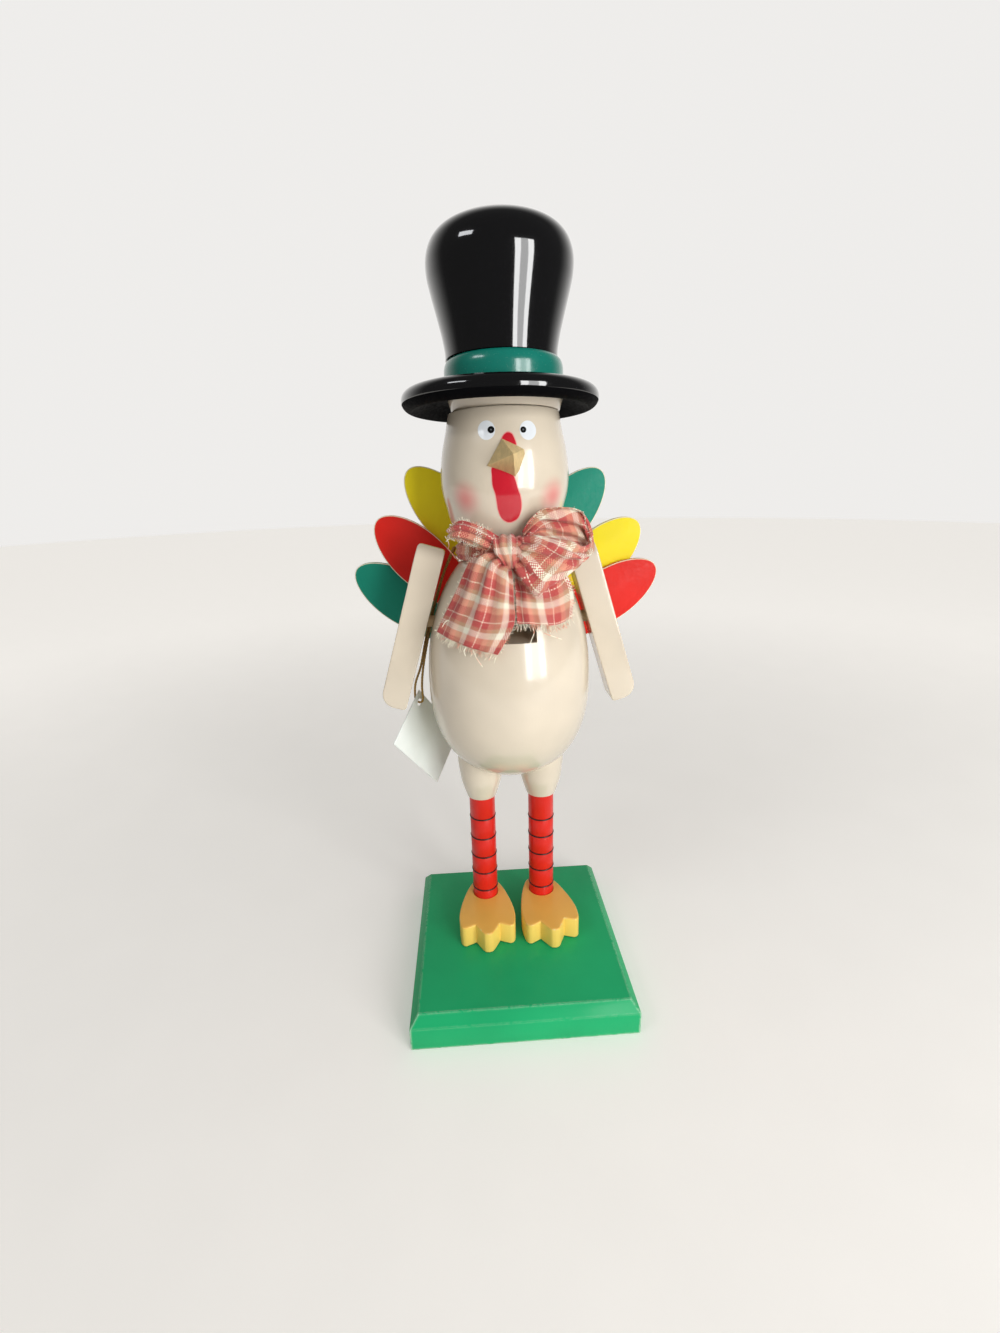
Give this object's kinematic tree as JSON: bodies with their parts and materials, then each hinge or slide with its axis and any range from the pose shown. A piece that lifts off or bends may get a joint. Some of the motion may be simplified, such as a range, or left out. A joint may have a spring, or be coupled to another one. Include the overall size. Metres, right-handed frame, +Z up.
{
  "type": "turkey nutcracker figure",
  "caption": "Standing wooden turkey nutcracker with top hat, fan of tail feathers, cloth bow, hang tag and a lever jaw worked from the back, on a square base.",
  "frame": {"origin": "centre of the base board's underside, on the surface that the figure stands on", "axes": "+Z up, the figure faces -Y, +X is to the viewer's right when looking at its face"},
  "size_m": [0.1417, 0.1092, 0.3091],
  "materials": {
    "cream_paint": "gloss cream paint on turned wood",
    "base_green": "green paint on wood, worn pale at the edges",
    "leg_red": "red paint on dowel, with thin dark rings",
    "foot_orange": "orange paint on cut-out wood",
    "hat_black": "gloss black paint on turned wood",
    "band_green": "gloss green paint on turned wood",
    "feather_green": "green paint on cut-out wood, worn edges",
    "feather_red": "red paint on cut-out wood, worn edges",
    "feather_yellow": "yellow paint on cut-out wood, worn edges",
    "bare_wood": "bare fine-grained wood",
    "steel": "plain steel",
    "plaid_cloth": "homespun plaid cotton with frayed edges",
    "tag_paper": "blank matt white card",
    "gold_cord": "thin twisted gold cord"
  },
  "bodies": {
    "figure": {"base_board": "base_green", "foot_screw_left": "steel", "foot_screw_right": "steel", "foot_left": "foot_orange", "foot_right": "foot_orange", "leg_left": "leg_red", "leg_right": "leg_red", "thigh_left": "cream_paint", "thigh_right": "cream_paint", "hip_dowel_left": "bare_wood", "hip_dowel_right": "bare_wood", "body": "cream_paint", "lever_pin": "steel", "neck_dowel": "bare_wood", "head": "cream_paint", "beak": "bare_wood", "head_ring": "cream_paint", "hat_dowel": "bare_wood", "hat_brim": "hat_black", "hat_band": "band_green", "hat_crown": "hat_black", "arm_left": "cream_paint", "arm_right": "cream_paint", "shoulder_dowel_left": "bare_wood", "shoulder_dowel_right": "bare_wood", "tail_feather_left_green": "feather_green", "tail_feather_left_red": "feather_red", "tail_feather_left_yellow": "feather_yellow", "tail_feather_right_green": "feather_green", "tail_feather_right_yellow": "feather_yellow", "tail_feather_right_red": "feather_red", "neck_ribbon": "plaid_cloth", "bow_knot": "plaid_cloth", "bow_loop_left": "plaid_cloth", "bow_loop_right": "plaid_cloth", "bow_tail_left": "plaid_cloth", "bow_tail_right": "plaid_cloth", "tag_card": "tag_paper", "tag_cord": "gold_cord"},
    "lever": {"lever": "cream_paint"}
  },
  "joints": [
    {"name": "lever_hinge", "type": "hinge", "parent": "figure", "child": "lever", "pos_m": [0, 0.013, 0.172], "axis": [1, 0, 0], "range_deg": [0, 29]}
  ]
}
